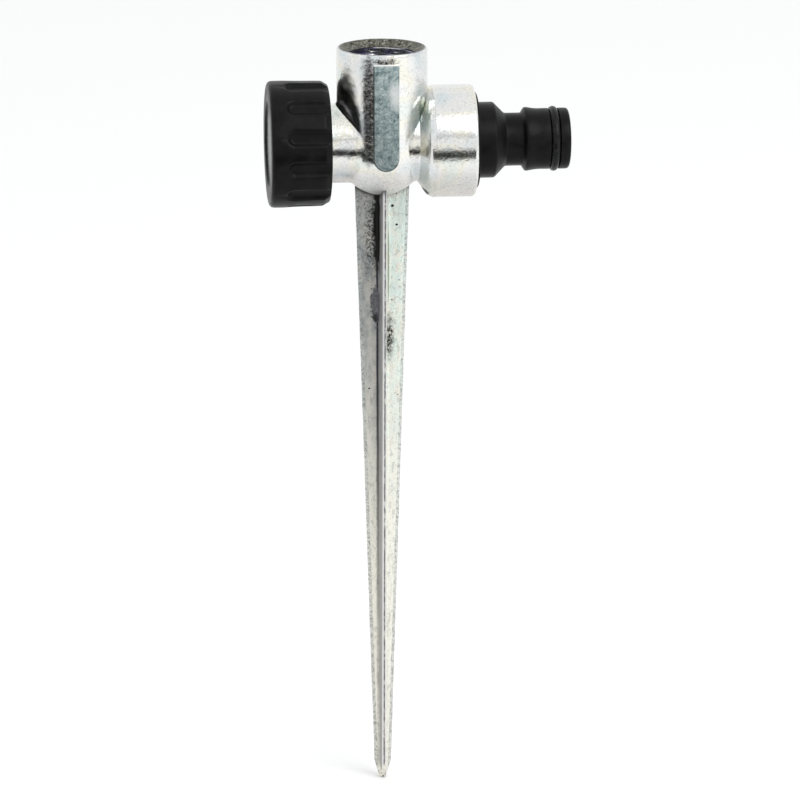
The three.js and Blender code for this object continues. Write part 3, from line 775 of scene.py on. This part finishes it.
def spike_zinc():
    """Dull zinc: grey and pitted left of the front fin, partly tarnish and partly painted shade,
    pale mint and cream right of it.
    """
    finish = Finish("dull spike zinc", metallic=0.45, specular=0.2)
    x, y, z = finish.along("X"), finish.along("Y"), finish.along("Z")
    span = finish.add("MapRange", {"Value": z, "From Min": POINT_Z, "From Max": SPIKE_TOP_Z,
                                   "To Min": FIN_FOOT_SPAN, "To Max": FIN_SPAN})
    grain = finish.noise(2.2, 6, 0.72)
    flow = finish.noise(0.5, 5, 0.62, stretch=(1, 1, 0.16), warp=1.2)
    blotch = finish.noise(0.45, 4, 0.6, offset=4, stretch=(1, 1, 0.5))
    streak = finish.noise(0.9, 5, 0.7, offset=23, stretch=(1, 1, 0.5), warp=0.6)
    fine = finish.noise(1.5, 5, 0.8, offset=17)

    pale_side = finish.ramp(blotch, (0.40, (0.68, 0.78, 0.73)), (0.50, (0.76, 0.81, 0.74)),
                            (0.60, (0.77, 0.75, 0.67)))
    # Left of the front fin the zinc is greyer: partly tarnish, partly painted shade where the front
    # fin keeps the light off.
    tarnished_and_shaded_side = finish.ramp(blotch, (0.40, (0.30, 0.32, 0.32)), (0.50, (0.44, 0.45, 0.43)),
                            (0.60, (0.52, 0.51, 0.47)))
    lower = finish.between(z, -105, -12, 0.9, 0)
    tarnished_and_shaded_side = finish.mixed(lower, tarnished_and_shaded_side, (0.96, 0.93, 0.82))
    pale_side = finish.mixed(lower, pale_side, (0.88, 0.86, 0.78))
    colour = finish.mixed(finish.between(x, -0.5, 0.2), tarnished_and_shaded_side, pale_side)
    colour = finish.mixed(finish.between(flow, 0.52, 0.7, 0, 0.3), colour, (0.45, 0.46, 0.47))
    colour = finish.mixed(finish.between(streak, 0.53, 0.62, 0, 0.4), colour, (0.30, 0.31, 0.29))
    colour = finish.mixed(finish.between(grain, 0.52, 0.72, 0, 0.6), colour, (0.20, 0.20, 0.19))

    tarnish = finish.spot((-4.2, -1.4, 0), (3.4, 3, 14), 0.5, 0.6, 0.5)
    pitted = finish.times(tarnish, finish.between(fine, 0.50, 0.64))
    colour = finish.mixed(finish.times(pitted, 0.8), colour, (0.07, 0.065, 0.06))
    colour = finish.mixed(finish.between(fine, 0.655, 0.70, 0, 0.9), colour, (0.04, 0.035, 0.03))

    side = finish.maths("SUBTRACT", finish.maths("ABSOLUTE", x), span)
    bevel = finish.between(side, -0.95, -0.8)
    worn = finish.between(fine, 0.46, 0.62)
    colour = finish.mixed(finish.times(bevel, 0.45), colour, (0.50, 0.53, 0.52))
    nicks = finish.times(bevel, finish.times(worn, 0.7))
    colour = finish.mixed(nicks, colour, (0.10, 0.11, 0.11))
    front = finish.between(finish.maths("ADD", y, span), 0.1, 0.45, 1, 0)
    aside = finish.maths("ABSOLUTE", finish.maths("SUBTRACT", x, 0.22))
    ridge = finish.times(front, finish.between(aside, 0.12, 0.32, 1, 0))
    # Painted highlight: a pale line down the front fin's edge face.
    colour = finish.mixed(finish.times(front, 0.7), colour, (0.80, 0.80, 0.80))
    ridge = finish.times(ridge, finish.between(streak, 0.36, 0.52, 0.35, 0.95))
    colour = finish.mixed(ridge, colour, (0.12, 0.11, 0.125))

    # Painted shade on the front fin's left face, which faces away from the light.
    flank = finish.times(finish.between(x, -1.5, -1.1), finish.between(x, -0.45, -0.3, 1, 0))
    flank = finish.times(flank, finish.between(y, -1.7, -1.4, 1, 0))
    colour = finish.mixed(finish.times(flank, 0.75), colour, (0.25, 0.245, 0.25))
    # Painted shade: a dark bluish line down the corner between the front fin and the left fin.
    root = finish.spot((-1.45, -1.45, -60), (0.42, 0.42, 400), 0.5, 0.35, 0.7)
    root = finish.times(root, finish.between(z, -125, -40, 0.5, 1))
    colour = finish.mixed(root, colour, (0.02, 0.023, 0.032))
    # Painted shadow: a dark line on the fins just under the dome, stronger on the left.
    off_dome = finish.add("VectorMath", {0: finish.mm, 1: (0, 0, DOME_Z)}, operation="SUBTRACT")
    off_dome = finish.add("VectorMath", {0: off_dome}, output="Value", operation="LENGTH")
    dome_shadow_line = finish.times(finish.between(off_dome, 12.9, 14.4, 1, 0),
                        finish.between(x, 1.5, -1, 0.35, 0.9))
    colour = finish.mixed(dome_shadow_line, colour, (0.05, 0.05, 0.048))
    # Painted shade: black in the corner between the front fin and the left fin, just under the
    # dome, speckled where it spreads onto the left fin.
    corner_shade = finish.spot((-1.3, -1.7, -1), (1.5, 2.1, 13), 0.35, 0.9, 0.7)
    speckled_corner_shade = finish.spot((-2.4, -1.6, -3), (2.0, 3, 11), 0.5, 0.9, 0.5)
    speckled_corner_shade = finish.times(speckled_corner_shade, finish.between(fine, 0.46, 0.56))
    corner_shade = finish.maths("MAXIMUM", corner_shade, speckled_corner_shade)
    colour = finish.mixed(corner_shade, colour, (0.008, 0.0075, 0.007))
    peel = finish.spot((-1.7, -1.1, -23.5), (1.75, 2.4, 5.4), 0.05, 1.1, 0.45)
    scuffs = finish.between(fine, 0.42, 0.6)
    peel_tone = finish.mixed(scuffs, (0.17, 0.17, 0.19), (0.075, 0.07, 0.075))
    colour = finish.mixed(finish.times(peel, 0.9), colour, peel_tone)
    lip = finish.times(finish.spot((-2.0, -1.1, -27.6), (0.8, 2, 1.1), 0.3, 0.8, 0.9), 0.85)
    colour = finish.mixed(lip, colour, (0.02, 0.02, 0.02))
    scratch = finish.spot((1.6, -1.3, -12), (0.28, 0.6, 11.5), 0.3, 0.3, 0.5)
    colour = finish.mixed(finish.times(scratch, 0.8), colour, (0.20, 0.22, 0.15))
    rust = finish.spot((1.7, -1.2, -33), (1.5, 2.5, 5.6), 0.5, 1.1, 0.7)
    rust = finish.times(rust, finish.between(fine, 0.41, 0.52))
    colour = finish.mixed(rust, colour, (0.02, 0.017, 0.012))
    dust = finish.spot((2.9, -1.2, -31), (2.0, 2.5, 9), 0.6, 0.9, 0.6)
    sprinkled = finish.between(finish.noise(2.0, 4, 0.8, offset=51), 0.56, 0.62, 0, 0.7)
    dust = finish.times(dust, sprinkled)
    colour = finish.mixed(dust, colour, (0.05, 0.045, 0.035))
    pits = None
    for place, size in (((2.75, -1, 4.2), 0.42), ((3.95, -1, -1.2), 0.34), ((-4.4, -1, -15), 0.2),
                        ((3.9, -1, 7.5), 0.18), ((-3.7, -1, -48), 0.26), ((2.6, -1, -22.5), 0.2),
                        ((4.3, -1, -50), 0.2), ((4.6, -1, -17), 0.18)):
        pit = finish.spot(place, (size, 2, size * 0.85), 0.2, 0.25, 2.0)
        pits = finish.maths("MAXIMUM", pits, pit) if pits else pit
    colour = finish.mixed(pits, colour, (0.012, 0.01, 0.008))
    tip = finish.between(z, TIP_Z + 4, TIP_Z + 0.5, 0, 0.9)
    colour = finish.mixed(finish.times(tip, worn), colour, (0.10, 0.09, 0.08))

    roughness = finish.between(grain, 0.3, 0.8, 0.34, 0.55)
    height = finish.maths("MULTIPLY_ADD", flow, 1.2, finish.maths("MULTIPLY_ADD", pits, -4, grain))
    return finish.surface(colour, roughness, height, 0.04)


def black_plastic():
    finish = Finish("black moulded plastic", specular=0.11)
    cloud = finish.noise(0.3, 4, 0.6)
    dust = finish.between(finish.noise(1.6, 6, 0.8, offset=13), 0.64, 0.78)
    colour = finish.mixed(finish.between(cloud, 0.35, 0.7),
                          (0.003, 0.003, 0.0035), (0.006, 0.006, 0.006))
    colour = finish.mixed(finish.times(dust, 0.3), colour, (0.035, 0.034, 0.03))
    roughness = finish.between(cloud, 0.3, 0.7, 0.3, 0.42)
    return finish.surface(colour, roughness, finish.noise(5.0, 3, 0.6), 0.008)


def smooth_black():
    finish = Finish("smooth cap face", specular=1.0)
    cloud = finish.noise(0.3, 3, 0.5)
    colour = finish.mixed(cloud, (0.02, 0.02, 0.021), (0.03, 0.03, 0.03))
    return finish.surface(colour, finish.between(cloud, 0.3, 0.7, 0.22, 0.3))


def black_rubber():
    finish = Finish("black seal rubber", specular=0.16)
    smudge = finish.noise(0.8, 5, 0.7)
    colour = finish.mixed(finish.between(smudge, 0.4, 0.75),
                          (0.005, 0.005, 0.006), (0.016, 0.016, 0.015))
    roughness = finish.between(smudge, 0.3, 0.7, 0.22, 0.42)
    return finish.surface(colour, roughness, finish.noise(3, 3), 0.01)


# ------------------------------------------------------------------ stage, lights, camera

def plain(name, value):
    finish = Finish(name, specular=0.2)
    finish.shader.inputs["Roughness"].default_value = 0.7
    finish.shader.inputs["Base Color"].default_value = (value, value, value, 1)
    return finish.material


def card(name, corners, material):
    """A flat card, given by its four corners in metres."""
    bm = bmesh.new()
    bm.faces.new([bm.verts.new(corner) for corner in corners])
    mesh = bpy.data.meshes.new(name)
    bm.to_mesh(mesh)
    bm.free()
    mesh.materials.append(material)
    made = bpy.data.objects.new(name, mesh)
    bpy.context.scene.collection.objects.link(made)
    return made


def flag(name, distance, turn, width, low, high):
    """A black card in front of the object that only its reflections see. turn and width are
    degrees about the socket's axis from the front, and low and high are degrees above the
    cross run's level."""
    black = plain(name + " black", 0.0)
    near, far = radians(turn - width / 2), radians(turn + width / 2)
    bottom, top = [RUN_Z * MM + distance * tan(radians(angle)) for angle in (low, high)]
    corners = [(distance * sin(a), -distance * cos(a), z)
               for a, z in ((near, bottom), (far, bottom), (far, top), (near, top))]
    made = card(name, corners, black)
    made.visible_camera = made.visible_diffuse = made.visible_shadow = False
    made.visible_transmission = False


def underlay(reach, value):
    """A disc close to the floor that only the object's reflections see: grey under the object as
    painted shadow of the floor, and pale at its edge."""
    finish = Finish("underlay grey", specular=0)
    far = finish.add("VectorMath", {0: finish.mm}, output="Value", operation="LENGTH")
    fade = finish.between(far, 60, reach / MM)
    finish.surface(finish.mixed(fade, (value, value, value), (0.9, 0.9, 0.9)))
    level = TIP_Z * MM + 0.001
    rim = [(reach * cos(tau * k / 32), reach * sin(tau * k / 32), level) for k in range(32)]
    made = card("underlay", rim, finish.material)
    made.visible_camera = made.visible_diffuse = made.visible_shadow = False


def stage():
    floor_z, reach = TIP_Z * MM, 6.0
    card("floor", [(-reach, -reach, floor_z), (reach, -reach, floor_z), (reach, reach, floor_z),
                   (-reach, reach, floor_z)], plain("pale floor", 0.9))
    flag("flag_front", 0.42, -15, 78, -29, -6)
    flag("flag_line", 0.5, 6, 40, 19, 21.5)
    underlay(0.30, 0.5)


def area_light(name, place, size, power):
    """A round soft light that looks at the ground line."""
    data = bpy.data.lights.new(name, "AREA")
    data.shape, data.size, data.energy = "DISK", size, power
    light = bpy.data.objects.new(name, data)
    light.location = place
    light.rotation_euler = (-Vector(place)).to_track_quat("-Z", "Y").to_euler()
    bpy.context.scene.collection.objects.link(light)


def lights():
    world = bpy.data.worlds.new("studio")
    world.use_nodes = True
    background = world.node_tree.nodes["Background"]
    background.inputs["Color"].default_value = (0.99, 0.995, 1.0, 1)
    background.inputs["Strength"].default_value = 1.0
    bpy.context.scene.world = world
    area_light("key", (0.9, -1.1, 1.3), 1.3, 14)


def camera():
    """A long lens, a little to the left of the front and above the cross run."""
    data = bpy.data.cameras.new("camera")
    data.lens, data.sensor_width = 207.0, 36.0
    eye = bpy.data.objects.new("camera", data)
    turn, rise = radians(-5.75), radians(15.7)
    eye.location = Vector((-119.0, -1231.3, 274.0 + RUN_Z)) * MM
    forward = -Vector((sin(turn) * cos(rise), -cos(turn) * cos(rise), sin(rise)))
    eye.rotation_euler = forward.to_track_quat("-Z", "Y").to_euler()
    bpy.context.scene.collection.objects.link(eye)
    bpy.context.scene.camera = eye


# ------------------------------------------------------------------ the scene

camera()
stage()
lights()
bpy.context.scene.view_settings.view_transform = "Standard"

spike_casting()
outlet_cap()
inlet_adapter()
o_ring()
washer("cap_washer_rubber", CAP_WASHER_LOW, CAP_WASHER_HIGH, "cap_washer", "outlet_cap_washer")
washer("inlet_washer_rubber", INLET_WASHER_LOW, INLET_WASHER_HIGH, "inlet_washer", "inlet_washer")
